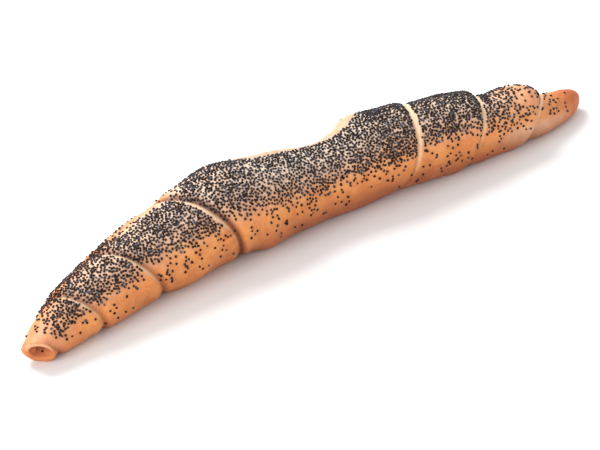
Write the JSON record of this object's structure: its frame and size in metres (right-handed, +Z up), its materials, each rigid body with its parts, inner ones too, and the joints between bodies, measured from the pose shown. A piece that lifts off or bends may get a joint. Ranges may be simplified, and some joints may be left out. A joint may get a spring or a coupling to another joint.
{
  "type": "bread roll",
  "caption": "Long, slim, slightly bowed bread roll wound from a strip of dough, with a spiral shoulder from each end, one open rolled end, one pointed end, and poppy seeds on its upper side.",
  "frame": {"origin": "centre of the footprint of the bounding box, on the surface the roll rests on", "axes": "+X along the roll from its open rolled end to its pointed end, +Z up, -Y the side the ends bow towards"},
  "size_m": [0.2872, 0.0456, 0.036],
  "materials": {
    "crust": "satin",
    "poppy_seeds": "satin"
  },
  "bodies": {
    "root": {"bread_roll": "crust"}
  },
  "joints": []
}
